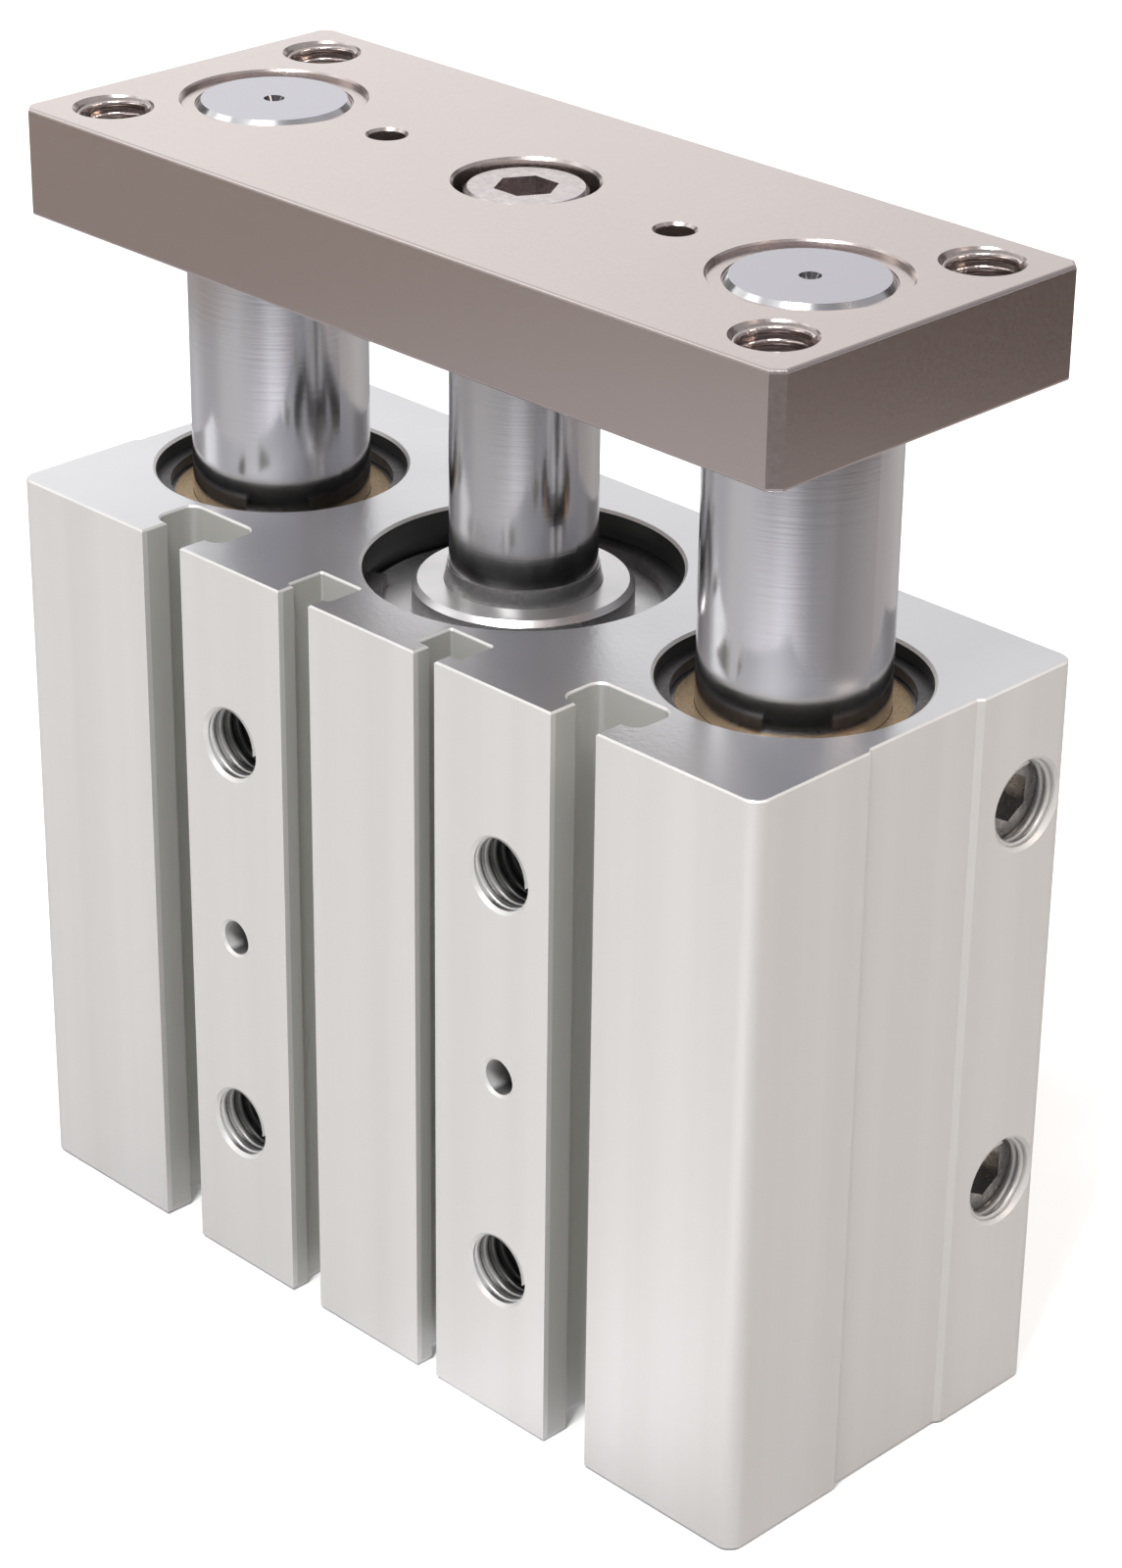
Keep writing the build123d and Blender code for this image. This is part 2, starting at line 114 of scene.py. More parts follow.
def noise(tree, vector, scale, detail=3.0, rough=0.55):
    node = addNode(tree, "ShaderNodeTexNoise", {"Vector": vector, "Scale": scale, "Detail": detail,
                                                "Roughness": rough})
    return node.outputs["Fac"]


def spread(tree, value, low, high, fromLow=0.3, fromHigh=0.7):
    node = addNode(tree, "ShaderNodeMapRange", {"Value": value, "From Min": fromLow,
                                                "From Max": fromHigh, "To Min": low, "To Max": high})
    return node.outputs["Result"]


def blendColours(tree, share, first, second):
    node = addNode(tree, "ShaderNodeMix", data_type="RGBA")
    for socket, value in zip((node.inputs[0], node.inputs[6], node.inputs[7]),
                             (share, first, second)):
        if isinstance(value, bpy.types.NodeSocket):
            tree.links.new(value, socket)
        else:
            socket.default_value = value
    return node.outputs[2]


def addBump(tree, shader, heights, distance=0.0002):
    last = None
    for height, strength in heights:
        node = addNode(tree, "ShaderNodeBump", {"Height": height, "Strength": strength,
                                                "Distance": distance})
        if last:
            tree.links.new(last, node.inputs["Normal"])
        last = node.outputs["Normal"]
    tree.links.new(last, shader.inputs["Normal"])


def rgb(red, green, blue):
    return (red, green, blue, 1.0)


def arithmetic(tree, operation, first, second=0.0):
    return addNode(tree, "ShaderNodeMath", {0: first, 1: second}, operation=operation).outputs[0]


def faceUpShare(tree, low, high):  # 1 on faces that look up or down, 0 on upright ones
    source = addNode(tree, "ShaderNodeTexCoord")
    parts = addNode(tree, "ShaderNodeSeparateXYZ", {"Vector": source.outputs["Normal"]})
    return spread(tree, arithmetic(tree, "ABSOLUTE", parts.outputs["Z"]), 0.0, 1.0, low, high)


def blendValues(tree, share, first, second):
    difference = arithmetic(tree, "SUBTRACT", second, first)
    return arithmetic(tree, "ADD", first, arithmetic(tree, "MULTIPLY", difference, share))


def between(tree, value, low, high):  # 1 from low to high, 0 outside them
    return arithmetic(tree, "MULTIPLY", arithmetic(tree, "GREATER_THAN", value, low),
                      arithmetic(tree, "LESS_THAN", value, high))


def insideBore(tree, place, centreX, radius):  # 1 within an upright round hole, 0 outside it
    across = arithmetic(tree, "SUBTRACT", place["X"], centreX)
    reach = arithmetic(tree, "SQRT", arithmetic(tree, "ADD", arithmetic(tree, "MULTIPLY", across, across),
                                                arithmetic(tree, "MULTIPLY", place["Y"], place["Y"])))
    return arithmetic(tree, "LESS_THAN", reach, radius)


# Finishes. Scales are for noise on a piece measured in metres.
extrusion = {
    "side": rgb(0.70, 0.685, 0.67),
    "sideDark": rgb(0.655, 0.64, 0.622),
    "milled": rgb(0.74, 0.74, 0.755),
    # painted shade: the walls of the three bores coloured nearly black
    "paintedBoreShade": rgb(0.055, 0.058, 0.055),
    "dieLines": {"scale": 1400.0, "stretch": (1, 1, 0.004), "bump": 0.12},
    "streaks": {"scale": 160.0, "stretch": (1, 1, 0.02)},
    "milling": {"scale": 45.0},
    "grain": {"scale": 2600.0, "bump": 0.05},
    "roughSide": (0.40, 0.48),
    "roughMilled": (0.27, 0.34),
    "roughBore": 0.32,
    "metallicSide": 0.42,
    "metallicMilled": 0.95,
    "centreBore": 18.3,         # mm, just outside the ring grooves
    "guideBore": 14.9,
    "rim": 0.32,                # the broken rims stay out of the painted shade of the bores and slots
    "flatFrom": (0.8, 0.95),    # so the broken edges keep the drawn finish
    "slotX": ((6.7, 13.4), (26.1, 36.9)),  # the grooves and the T-slots, from the middle
    "slotY": (-23.3, -14.5),
    # painted shade on the slot walls, darker than the open sides
    "slotPaintedShade": rgb(0.52, 0.52, 0.495),
    # painted shade down the front tapped holes, nearly black where they are deep
    "hole": {"x": 21.0, "z": (18.5, 42.5, 66.5), "radius": 4.3, "depth": (0.8, 3.8),
             "holeShade": rgb(0.07, 0.07, 0.068)},
}


def boreShare(tree, look, place):  # 1 in the three upright bores, whose walls are painted nearly black as shade
    bores = insideBore(tree, place, 0.0, look["centreBore"] * mm)
    for sign in (-1, 1):
        guide = insideBore(tree, place, sign * guideX, look["guideBore"] * mm)
        bores = arithmetic(tree, "MAXIMUM", bores, guide)
    return bores


def slotShare(tree, look, place, fromMiddle):  # 1 in the slots of the front, whose walls are painted darker as shade
    near, far = [between(tree, fromMiddle, a * mm, b * mm) for a, b in look["slotX"]]
    deep = between(tree, place["Y"], *[y * mm for y in look["slotY"]])
    return arithmetic(tree, "MULTIPLY", arithmetic(tree, "MAXIMUM", near, far), deep)


def frontHoleShadeShare(tree, hole, place, fromMiddle):  # painted shade, from 0 at the mouths to 1 down the front holes
    column = arithmetic(tree, "SUBTRACT", fromMiddle, hole["x"] * mm)
    holes = 0.0
    for z in hole["z"]:
        centred = {"X": column, "Y": arithmetic(tree, "SUBTRACT", place["Z"], z * mm)}
        holes = arithmetic(tree, "MAXIMUM", holes, insideBore(tree, centred, 0.0, hole["radius"] * mm))
    deep = spread(tree, place["Y"], 0.0, 1.0, *[bodyLow.y + depth * mm for depth in hole["depth"]])
    frontHalf = arithmetic(tree, "LESS_THAN", place["Y"], 0.0)
    return arithmetic(tree, "MULTIPLY", arithmetic(tree, "MULTIPLY", holes, deep), frontHalf)


def makeExtrusion(look):
    mat, tree, shader = newMaterial("anodisedExtrusion")
    up = faceUpShare(tree, *look["flatFrom"])
    lines = noise(tree, objectCoordinates(tree, look["dieLines"]["stretch"]),
                  look["dieLines"]["scale"], 4.0)
    streaks = noise(tree, objectCoordinates(tree, look["streaks"]["stretch"]),
                    look["streaks"]["scale"], 2.0)
    milling = noise(tree, objectCoordinates(tree), look["milling"]["scale"])
    grain = noise(tree, objectCoordinates(tree), look["grain"]["scale"], 2.0)
    place = addNode(tree, "ShaderNodeSeparateXYZ", {"Vector": objectCoordinates(tree)}).outputs
    fromMiddle = arithmetic(tree, "ABSOLUTE", place["X"])
    rim = look["rim"] * mm
    # The bore and slot walls below the rims are painted darker as shade
    inside = between(tree, place["Z"], bodyLow.z + rim, bodyHigh.z - rim)
    bore = arithmetic(tree, "MULTIPLY", boreShare(tree, look, place), inside)
    slot = arithmetic(tree, "MULTIPLY", slotShare(tree, look, place, fromMiddle), inside)
    side = blendColours(tree, spread(tree, streaks, 0.0, 1.0), look["side"], look["sideDark"])
    # painted shade in the slots
    side = blendColours(tree, slot, side, look["slotPaintedShade"])
    colour = blendColours(tree, bore, blendColours(tree, up, side, look["milled"]), look["paintedBoreShade"])
    # painted shade down the front holes
    holes = frontHoleShadeShare(tree, look["hole"], place, fromMiddle)
    tree.links.new(blendColours(tree, holes, colour, look["hole"]["holeShade"]), shader.inputs["Base Color"])
    metallic = blendValues(tree, up, look["metallicSide"], look["metallicMilled"])
    tree.links.new(metallic, shader.inputs["Metallic"])
    rough = blendValues(tree, up, spread(tree, lines, *look["roughSide"]),
                        spread(tree, milling, *look["roughMilled"]))
    tree.links.new(blendValues(tree, bore, rough, look["roughBore"]), shader.inputs["Roughness"])
    addBump(tree, shader, [(lines, look["dieLines"]["bump"]), (grain, look["grain"]["bump"])])
    return mat


plateFinish = {
    "colour": rgb(0.675, 0.6, 0.575),
    "tint": rgb(0.64, 0.567, 0.543),
    "rough": (0.2, 0.27),
    "cloud": 18.0,
    "grain": 2400.0,
    "bump": 0.035,
}


def makePlateSteel(look):
    mat, tree, shader = newMaterial("nickelPlatedSteel")
    cloud = noise(tree, objectCoordinates(tree), look["cloud"])
    grain = noise(tree, objectCoordinates(tree), look["grain"])
    colour = blendColours(tree, spread(tree, cloud, 0.0, 1.0), look["colour"], look["tint"])
    tree.links.new(colour, shader.inputs["Base Color"])
    shader.inputs["Metallic"].default_value = 1.0
    tree.links.new(spread(tree, grain, *look["rough"]), shader.inputs["Roughness"])
    addBump(tree, shader, [(grain, look["bump"])])
    return mat


chromeFinish = {
    "colour": rgb(0.80, 0.795, 0.81),
    # a darker chrome colour for the piston rod than for the guide rods
    "darkerChrome": rgb(0.66, 0.65, 0.655),
    "groundEnd": rgb(0.56, 0.55, 0.595),
    "rough": (0.13, 0.2),
    "cleanSmudge": 0.04,        # how much rougher the film of oil can be
    "smudge": 0.14,
    "roughEnd": 0.3,
    "endFrom": (0.9, 0.97),
    "rings": {"scale": 2200.0, "stretch": (0.05, 0.05, 1), "bump": 0.03},  # grinding marks
    "film": {"scale": 70.0, "stretch": (1, 1, 0.6), "rough": 0.65, "from": (0.42, 0.72)},
    # painted shade in the centre holes of the rod ends, and on a thin ring round them
    "centreMarkShade": rgb(0.2, 0.195, 0.2),
    "markRadius": 1.15,         # mm
}


def makeChrome(name, look, colour, smudge):
    mat, tree, shader = newMaterial(name)
    up = faceUpShare(tree, *look["endFrom"])
    marks = look["rings"]
    rings = noise(tree, objectCoordinates(tree, marks["stretch"]), marks["scale"])
    oil = look["film"]
    film = noise(tree, objectCoordinates(tree, oil["stretch"]), oil["scale"], 5.0, oil["rough"])
    shader.inputs["Metallic"].default_value = 1.0
    place = addNode(tree, "ShaderNodeSeparateXYZ", {"Vector": objectCoordinates(tree)}).outputs
    fromMiddle = {"X": arithmetic(tree, "ABSOLUTE", place["X"]), "Y": place["Y"]}
    # the centre holes are painted dark as shade
    mark = insideBore(tree, fromMiddle, guideX, look["markRadius"] * mm)
    ends = blendColours(tree, mark, look["groundEnd"], look["centreMarkShade"])
    steep = arithmetic(tree, "MAXIMUM", up, mark)
    tree.links.new(blendColours(tree, steep, colour, ends), shader.inputs["Base Color"])
    low, high = look["rough"]
    rough = spread(tree, film, low, high + smudge, *oil["from"])
    tree.links.new(blendValues(tree, up, rough, look["roughEnd"]), shader.inputs["Roughness"])
    addBump(tree, shader, [(rings, marks["bump"])])
    return mat


smallMetal = {"darkest": 0.82, "roughShare": (0.85, 1.2), "bump": 0.08}
softGoods = {"darkest": 0.6, "grainDetail": (5.0, 0.65), "bump": 0.5}


def darkened(colour, share):
    return rgb(*[share * part for part in colour[:3]])


def makePlainMetal(name, colour, rough, metallic=1.0, grain=1200.0, stretch=(1, 1, 1)):
    mat, tree, shader = newMaterial(name)
    grains = noise(tree, objectCoordinates(tree, stretch), grain)
    base = blendColours(tree, spread(tree, grains, 0.0, 1.0), colour,
                        darkened(colour, smallMetal["darkest"]))
    tree.links.new(base, shader.inputs["Base Color"])
    shader.inputs["Metallic"].default_value = metallic
    low, high = [rough * share for share in smallMetal["roughShare"]]
    tree.links.new(spread(tree, grains, low, high), shader.inputs["Roughness"])
    addBump(tree, shader, [(grains, smallMetal["bump"])])
    return mat


def makeSoft(name, colour, rough, grain, depth, wet=0.0):  # wet: how far an oil film shines
    mat, tree, shader = newMaterial(name)
    grains = noise(tree, objectCoordinates(tree), grain, *softGoods["grainDetail"])
    base = blendColours(tree, spread(tree, grains, 0.0, 1.0), colour,
                        darkened(colour, softGoods["darkest"]))
    tree.links.new(base, shader.inputs["Base Color"])
    shader.inputs["Roughness"].default_value = rough
    shader.inputs["Metallic"].default_value = wet
    addBump(tree, shader, [(grains, softGoods["bump"])], depth)
    return mat


finishes = {
    "anodised_aluminium": makeExtrusion(extrusion),
    "turned_aluminium": makePlainMetal("turnedAluminium", rgb(0.85, 0.84, 0.84), 0.28, 0.9, 1500.0,
                                       (0.05, 0.05, 1)),
    "spring_steel": makePlainMetal("phosphatedSpringSteel", rgb(0.16, 0.155, 0.16), 0.4),
    "seal_rubber": makeSoft("nitrileRubber", rgb(0.02, 0.02, 0.02), 0.5, 2500.0, 0.0001),
    "bumper_urethane": makeSoft("castUrethane", rgb(0.35, 0.22, 0.08), 0.4, 1500.0, 0.0001),
    "bearing_bronze": makePlainMetal("sinteredBronze", rgb(0.42, 0.28, 0.15), 0.42),
    "oiled_felt": makeSoft("oiledFelt", rgb(0.56, 0.41, 0.25), 0.3, 3200.0, 0.0002, 0.75),
    "holder_steel": makePlainMetal("holderSteel", rgb(0.42, 0.42, 0.42), 0.3),
    "plug_steel": makePlainMetal("zincPlatedSteel", rgb(0.55, 0.54, 0.53), 0.28),
    "plated_steel": makePlateSteel(plateFinish),
    "hard_chrome": makeChrome("groundChrome", chromeFinish, chromeFinish["colour"],
                              chromeFinish["cleanSmudge"]),
    "magnet": makeSoft("bondedFerrite", rgb(0.06, 0.055, 0.055), 0.6, 900.0, 0.0001),
}
ownFinishes = {                 # nodes that differ a little from the rest of their slot
    "piston_rod": makeChrome("smudgedChrome", chromeFinish, chromeFinish["darkerChrome"],
                             chromeFinish["smudge"]),
    "rod_seal": makeSoft("polyurethaneWiper", rgb(0.48, 0.47, 0.465), 0.2, 3000.0, 0.00002, 0.75),
    "plate_bolt": makePlainMetal("platedScrew", rgb(0.70, 0.635, 0.63), 0.26),
}

slotOf = {entry["node"]: entry["material_slot"] for entry in record["subparts"]}
for name, piece in nodes.items():
    finish = ownFinishes.get(name, finishes[slotOf[name]])
    piece.data.materials.clear()
    piece.data.materials.append(finish)
print("finishes set on", len(nodes), "nodes")


# Screw threads, which the solids leave as plain walls at the nominal diameter
threadSizes = {
    "m8": {"radius": 4.0, "pitch": 1.25, "depth": 0.68},
    "bodyM8": {"radius": 4.0, "pitch": 1.25, "depth": 0.12},
    "port": {"radius": 4.85, "pitch": 0.907, "depth": 0.55},
    "wallBite": 0.03,           # how far the ridge's foot sinks into the wall
    "ridgeRadius": 0.53,        # of the triangle's circle, in pitches
    "stepsPerTurn": 36,
}


def threadTree():
    tree = bpy.data.node_groups.new("internalThread", "GeometryNodeTree")
    face = tree.interface
    face.new_socket("Geometry", in_out="INPUT", socket_type="NodeSocketGeometry")
    for name in ("Radius", "Pitch", "Depth", "Length", "Bite"):
        face.new_socket(name, in_out="INPUT", socket_type="NodeSocketFloat")
    face.new_socket("Steps", in_out="INPUT", socket_type="NodeSocketInt")
    face.new_socket("Turn", in_out="INPUT", socket_type="NodeSocketRotation")
    face.new_socket("Finish", in_out="INPUT", socket_type="NodeSocketMaterial")
    face.new_socket("Geometry", in_out="OUTPUT", socket_type="NodeSocketGeometry")
    given = addNode(tree, "NodeGroupInput").outputs
    made = addNode(tree, "NodeGroupOutput")

    # An equilateral triangle is a 60 degree thread. Its foot is at the wall, its crest inwards.
    # It is one and a half of its circle's radii high, with a third of that outside the middle.
    radius = arithmetic(tree, "MULTIPLY", given["Pitch"], threadSizes["ridgeRadius"])
    triangle = addNode(tree, "GeometryNodeCurvePrimitiveCircle", {"Resolution": 3, "Radius": radius})
    squash = arithmetic(tree, "DIVIDE", given["Depth"], arithmetic(tree, "MULTIPLY", radius, 1.5))
    squeeze = addNode(tree, "ShaderNodeCombineXYZ", {"X": squash, "Y": 1.0, "Z": 1.0})
    profile = addNode(tree, "GeometryNodeTransform", {"Geometry": triangle.outputs["Curve"],
                                                      "Scale": squeeze.outputs[0]})
    foot = arithmetic(tree, "ADD", given["Radius"], given["Bite"])
    middle = arithmetic(tree, "SUBTRACT", foot, arithmetic(tree, "DIVIDE", given["Depth"], 3.0))
    turns = arithmetic(tree, "DIVIDE", given["Length"], given["Pitch"])
    spiral = addNode(tree, "GeometryNodeCurveSpiral", {
        "Resolution": given["Steps"], "Rotations": turns,
        "Start Radius": middle, "End Radius": middle, "Height": given["Length"]})
    normals = addNode(tree, "GeometryNodeSetCurveNormal", {"Curve": spiral.outputs["Curve"]},
                      mode="Z_UP")
    ridge = addNode(tree, "GeometryNodeCurveToMesh", {
        "Curve": normals.outputs["Curve"], "Profile Curve": profile.outputs["Geometry"],
        "Fill Caps": True})
    points = addNode(tree, "GeometryNodeMeshToPoints", {"Mesh": given["Geometry"]})
    copies = addNode(tree, "GeometryNodeInstanceOnPoints", {
        "Points": points.outputs["Points"], "Instance": ridge.outputs["Mesh"],
        "Rotation": given["Turn"]})
    real = addNode(tree, "GeometryNodeRealizeInstances", {"Geometry": copies.outputs["Instances"]})
    final = addNode(tree, "GeometryNodeSetMaterial", {"Geometry": real.outputs["Geometry"],
                                                      "Material": given["Finish"]})
    tree.links.new(final.outputs["Geometry"], made.inputs["Geometry"])
    return tree


threads = threadTree()


def runTree(points, tree, values):  # the tree's result on a few points, as a plain mesh
    seedMesh = bpy.data.meshes.new("holePlaces")
    seedMesh.from_pydata(points, [], [])
    carrier = bpy.data.objects.new("holePlaces", seedMesh)
    bpy.context.scene.collection.objects.link(carrier)
    modifier = carrier.modifiers.new("threads", "NODES")
    modifier.node_group = tree
    sockets = {s.name: s.identifier for s in tree.interface.items_tree if s.in_out == "INPUT"}
    for key, value in values.items():
        modifier[sockets[key]] = value
    bpy.context.view_layer.update()
    result = bpy.data.meshes.new_from_object(carrier.evaluated_get(bpy.context.evaluated_depsgraph_get()))
    carrier.modifiers.remove(modifier)
    bpy.data.objects.remove(carrier)
    return result


def addPiece(name, body, meshes, finish):  # one object, joined from meshes that are in place
    shape = bmesh.new()
    for mesh in meshes:
        shape.from_mesh(mesh)
    bmesh.ops.recalc_face_normals(shape, faces=shape.faces)
    whole = bpy.data.meshes.new(name)
    shape.to_mesh(whole)
    shape.free()
    whole.materials.clear()
    whole.materials.append(finish)
    piece = bpy.data.objects.new(name, whole)
    bpy.context.scene.collection.objects.link(piece)
    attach(piece, body)


# Where the holes start (mm), the way they run and how long the thread is
quarter = math.pi / 2
holePattern = {
    "frontX": 21.0, "frontZ": (18.5, 66.5), "frontLength": 15.0,
    "bottomX": 49.0, "bottomY": 15.0,
    "plateX": 48.0, "plateY": 15.0,
    "portZ": (27.6, 73.0), "sidePortY": 17.6, "portLength": 5.6,
    "sidePortLength": 1.8,      # from the mouth to the plug
    "mouth": 0.45,
}


def threadMesh(kind, points, length, turn, finish):
    size = threadSizes[kind]
    values = {"Radius": size["radius"] * mm, "Pitch": size["pitch"] * mm,
              "Depth": size["depth"] * mm, "Length": length * mm,
              "Bite": threadSizes["wallBite"] * mm, "Steps": threadSizes["stepsPerTurn"],
              "Turn": turn, "Finish": finish}
    return runTree(points, threads, values)


def addThreads(pattern):
    front, back, high, mouth = bodyLow.y, bodyHigh.y, plateHigh.z, pattern["mouth"] * mm
    aluminium, steel = finishes["anodised_aluminium"], finishes["plated_steel"]
    sides = (-1, 1)
    frontHoles = [(s * pattern["frontX"] * mm, front + mouth, z * mm)
                  for s in sides for z in pattern["frontZ"]]
    bottomHoles = [(s * pattern["bottomX"] * mm, t * pattern["bottomY"] * mm, mouth)
                   for s in sides for t in sides]
    backPorts = [(0, back - mouth, z * mm) for z in pattern["portZ"]]
    sidePorts = [(bodyHigh.x - mouth, pattern["sidePortY"] * mm, z * mm) for z in pattern["portZ"]]
    barrel = [
        threadMesh("bodyM8", frontHoles, pattern["frontLength"], (-quarter, 0, 0), aluminium),
        threadMesh("bodyM8", bottomHoles, pattern["frontLength"], (0, 0, 0), aluminium),
        threadMesh("port", backPorts, pattern["portLength"], (quarter, 0, 0), aluminium),
        threadMesh("port", sidePorts, pattern["sidePortLength"], (0, -quarter, 0), aluminium),
    ]
    addPiece("bodyThreads", "barrel", barrel, aluminium)
    plateHoles = [(s * pattern["plateX"] * mm, t * pattern["plateY"] * mm, plateLow.z + mouth)
                  for s in sides for t in sides]
    length = (high - plateLow.z) / mm - 2 * pattern["mouth"]
    addPiece("plateThreads", "carriage",
             [threadMesh("m8", plateHoles, length, (0, 0, 0), steel)], steel)


addThreads(holePattern)
print("threads made")


# Floor, lights and surroundings. The cards show only in reflections, as flags and reflectors do.
# Their angles (degrees) run round from the camera's side, positive to the right.
studio = {
    "floorSize": 8.0,
    "floorHeight": -0.0002,
    "floorRough": 0.9,
    "floorTint": (0.92, 0.92, 0.92),
    "floorBounce": (0.76, 0.755, 0.745),
    "worldStrength": 0.66,
    "whiteTurn": 30.0,          # the white backdrop's middle, round from straight behind
    "horizon": ((-1.0, (0.27, 0.275, 0.31)), (-0.4, (0.3, 0.3, 0.33)), (0.3, (0.45, 0.44, 0.45)),
                (0.55, (0.52, 0.51, 0.52)), (0.88, (1.14, 1.14, 1.14))),  # what metal sees, by cosine
    "ceiling": ((-0.5, (0.16, 0.16, 0.17)), (0.2, (0.85, 0.85, 0.85))),  # the room above, likewise
    "ceilingFrom": (0.7, 0.88),  # the sine of the height where it starts and where it is whole
    "aim": (0, 0, 0.07),
    "lamps": {
        "key": {"place": (0.24, -0.74, 1.5), "size": 0.36, "power": 24.0, "tint": (1, 1, 1)},
        "side": {"place": (1.09, 0.29, 1.23), "size": 0.4, "power": 4.8, "tint": (1, 0.83, 0.69)},
        "top": {"place": (-0.5, 0.7, 1.5), "size": 0.9, "power": 12.0, "tint": (1, 1, 1),
                "mirrored": False},  # or the plate glares in a view from above
    },
    "floorRing": {              # angle, radiance
        "low": (0.02, -0.0001), "high": (0.9, -0.0001),
        "stops": ((-180, (0.32, 0.315, 0.33)), (-130, (0.55, 0.54, 0.56)), (-109, (0.43, 0.42, 0.44)),
                  (-93, (0.43, 0.42, 0.44)), (-78, (0.53, 0.52, 0.53)), (-45, (0.57, 0.56, 0.58)),
                  (-26, (0.66, 0.65, 0.68)), (-14, (0.8, 0.79, 0.83)), (-3, (0.72, 0.71, 0.75)),
                  (6, (0.54, 0.53, 0.56)), (17, (0.37, 0.355, 0.38)), (42, (0.27, 0.255, 0.26)),
                  (65, (0.32, 0.3, 0.3)), (93, (0.41, 0.375, 0.37)), (130, (0.5, 0.47, 0.46)),
                  (180, (0.32, 0.315, 0.33))),
        "fade": {"reach": (0.2, 0.32), "factor": (1.35, 0.45), "middle": -12.0, "wide": (18.0, 46.0)},
    },
    "farRing": {                # darker floor further out, which the plate's sides look at
        "low": (0.32, 0.004), "high": (0.9, 0.004),
        "stops": ((-180, (0.32, 0.315, 0.33)), (-135, (0.38, 0.35, 0.34)),
                  (-105, (0.33, 0.285, 0.26)), (-72, (0.33, 0.285, 0.26)), (-50, (0.3, 0.27, 0.26)),
                  (-36, (0.16, 0.14, 0.13)), (34, (0.16, 0.14, 0.13)), (60, (0.14, 0.11, 0.1)),
                  (98, (0.1, 0.075, 0.065)), (125, (0.4, 0.38, 0.37)), (180, (0.32, 0.315, 0.33))),
    },
    "leftFlag": {
        "angles": (-155, -112), "low": (1.0, 0.01), "high": (1.0, 0.62),
        "stops": ((-155, (0.3, 0.29, 0.29)), (-135, (0.12, 0.11, 0.11)), (-112, (0.3, 0.29, 0.3))),
    },
    "rightFlag": {
        "angles": (112, 155), "low": (1.0, 0.01), "high": (1.0, 0.62),
        "stops": ((112, (0.2, 0.19, 0.19)), (130, (0.07, 0.06, 0.06)), (155, (0.25, 0.24, 0.24))),
    },
    "leftReflector": {          # the pale line along the broken edges of the body's front
        "angles": (-114, -90), "low": (1.0, 0.45), "high": (1.0, 1.35),
        "stops": ((-114, (1.4, 1.4, 1.4)), (-90, (1.4, 1.4, 1.4))),
    },
    "cardSteps": 48,
}


def addSheet(name, corners, faces):
    mesh = bpy.data.meshes.new(name)
    mesh.from_pydata(corners, [], faces)
    sheet = bpy.data.objects.new(name, mesh)
    bpy.context.scene.collection.objects.link(sheet)
    return sheet


def addFloor(look):
    half, height = look["floorSize"] / 2, look["floorHeight"]
    corners = [(-half, -half, height), (half, -half, height), (half, half, height),
               (-half, half, height)]
    sheet = addSheet("floor", corners, [(0, 1, 2, 3)])
    mat, tree, shader = newMaterial("paperFloor")
    seen = addNode(tree, "ShaderNodeLightPath").outputs["Is Camera Ray"]
    tint = blendColours(tree, seen, (*look["floorBounce"], 1), (*look["floorTint"], 1))
    tree.links.new(tint, shader.inputs["Base Color"])
    shader.inputs["Roughness"].default_value = look["floorRough"]
    sheet.data.materials.append(mat)


def setRamp(ramp, stops):
    marks = ramp.color_ramp.elements
    while len(marks) < len(stops):
        marks.new(0.5)
    for mark, (position, radiance) in zip(marks, stops):
        mark.position = position
        mark.color = (*radiance, 1)


def addCard(name, look):
    low, high = look.get("angles", (-180, 180))
    corners, steps = [], studio["cardSteps"]
    facing = cameraView["azimuth"] - 90
    for step in range(steps + 1):
        turn = math.radians(facing + low + (high - low) * step / steps)
        corners += [(r * math.cos(turn), r * math.sin(turn), z)
                    for r, z in (look["low"], look["high"])]
    faces = [(2 * k, 2 * k + 2, 2 * k + 3, 2 * k + 1) for k in range(steps)]
    card = addSheet(name, corners, faces)
    mat, tree, shader = newMaterial(name)
    turned = objectCoordinates(tree, turn=(0, 0, -math.radians(facing)))
    place = addNode(tree, "ShaderNodeSeparateXYZ", {"Vector": turned}).outputs
    angle = arithmetic(tree, "ARCTAN2", place["Y"], place["X"])
    position = spread(tree, angle, 0.0, 1.0, -math.pi, math.pi)
    ramp = addNode(tree, "ShaderNodeValToRGB", {"Fac": position})
    setRamp(ramp, [((stop + 180) / 360, radiance) for stop, radiance in look["stops"]])
    shader.inputs["Base Color"].default_value = (0, 0, 0, 1)
    shader.inputs["Specular IOR Level"].default_value = 0.0
    tree.links.new(ramp.outputs["Color"], shader.inputs["Emission Color"])
    shader.inputs["Emission Strength"].default_value = 1.0
    fade = look.get("fade")
    if fade:                    # nearer the object it is brighter, within some degrees of its middle
        reach = addNode(tree, "ShaderNodeVectorMath", {0: turned}, operation="LENGTH").outputs["Value"]
        factor = spread(tree, reach, *fade["factor"], *fade["reach"])
        off = arithmetic(tree, "SUBTRACT", angle, math.radians(fade["middle"]))
        share = spread(tree, arithmetic(tree, "ABSOLUTE", off), 1.0, 0.0,
                       *[math.radians(side) for side in fade["wide"]])
        tree.links.new(blendValues(tree, share, 1.0, factor), shader.inputs["Emission Strength"])
    card.data.materials.append(mat)
    card.visible_camera = False
    card.visible_diffuse = False
    card.visible_shadow = False
    card.visible_transmission = False


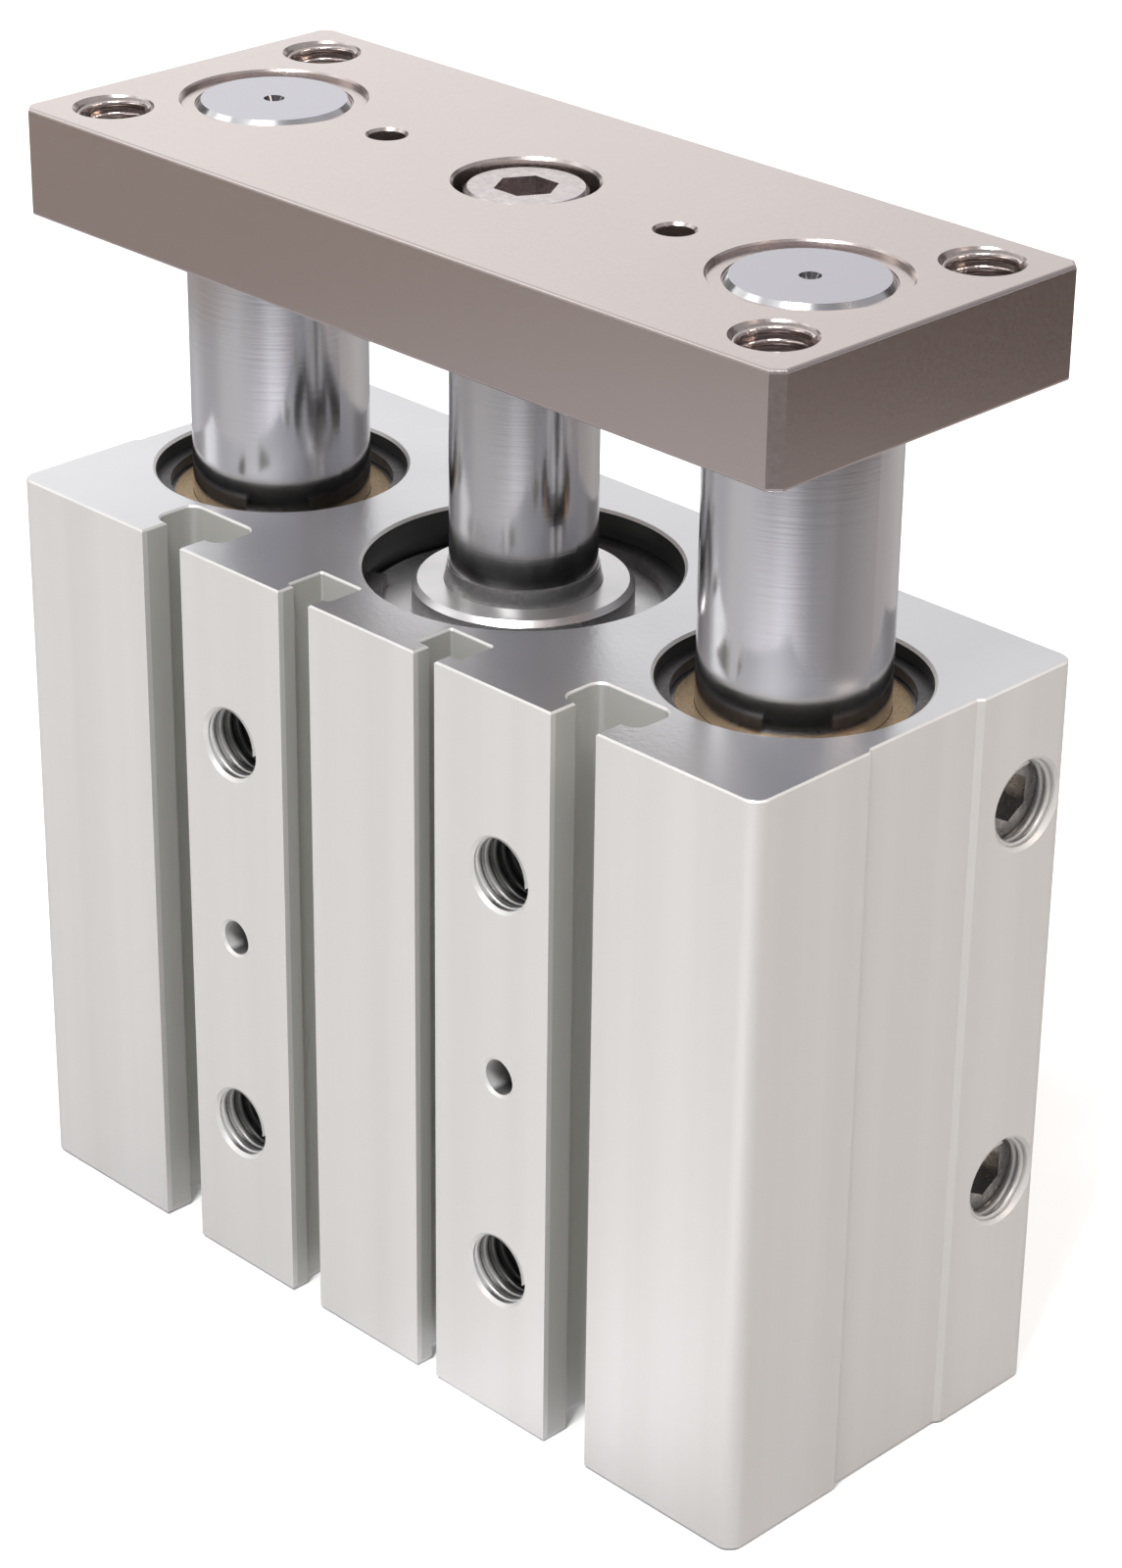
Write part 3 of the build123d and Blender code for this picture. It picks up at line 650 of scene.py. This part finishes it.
def addLight(name, look, aim):
    data = bpy.data.lights.new(name, "AREA")
    data.shape = "RECTANGLE"
    data.size, data.size_y = look["size"], look["size"]
    data.energy = look["power"]
    data.color = look["tint"]
    lamp = bpy.data.objects.new(name, data)
    lamp.location = look["place"]
    lamp.visible_glossy = look.get("mirrored", True)
    ray = Vector(aim) - Vector(look["place"])
    lamp.rotation_euler = ray.to_track_quat("-Z", "Y").to_euler()
    bpy.context.scene.collection.objects.link(lamp)


def addWorld(look):
    world = bpy.data.worlds.new("studio")
    bpy.context.scene.world = world
    world.use_nodes = True
    tree = world.node_tree
    paths = addNode(tree, "ShaderNodeLightPath").outputs
    away = math.radians(cameraView["azimuth"] + 90 + look["whiteTurn"])
    towards = addNode(tree, "ShaderNodeTexCoord").outputs["Generated"]
    behind = addNode(tree, "ShaderNodeVectorMath", {0: towards, 1: (math.cos(away), math.sin(away), 0)},
                     operation="DOT_PRODUCT").outputs["Value"]
    position = spread(tree, behind, 0.0, 1.0, -1.0, 1.0)
    room = []
    for part in ("horizon", "ceiling"):
        ramp = addNode(tree, "ShaderNodeValToRGB", {"Fac": position})
        setRamp(ramp, [((cosine + 1) / 2, radiance) for cosine, radiance in look[part]])
        room.append(ramp.outputs["Color"])
    height = addNode(tree, "ShaderNodeSeparateXYZ", {"Vector": towards}).outputs["Z"]
    overhead = spread(tree, height, 0.0, 1.0, *look["ceilingFrom"])
    mirrored = blendColours(tree, overhead, *room)
    plain = rgb(*[look["worldStrength"]] * 3)
    seen = blendColours(tree, paths["Is Glossy Ray"], plain, mirrored)
    seen = blendColours(tree, paths["Is Camera Ray"], seen, rgb(1, 1, 1))
    tree.links.new(seen, tree.nodes["Background"].inputs["Color"])


addFloor(studio)
for cardName in ("floorRing", "farRing", "leftFlag", "rightFlag", "leftReflector"):
    addCard(cardName, studio[cardName])
for lampName, lamp in studio["lamps"].items():
    addLight(lampName, lamp, studio["aim"])
addWorld(studio)

bpy.context.scene.view_settings.view_transform = "Standard"
print("studio set")
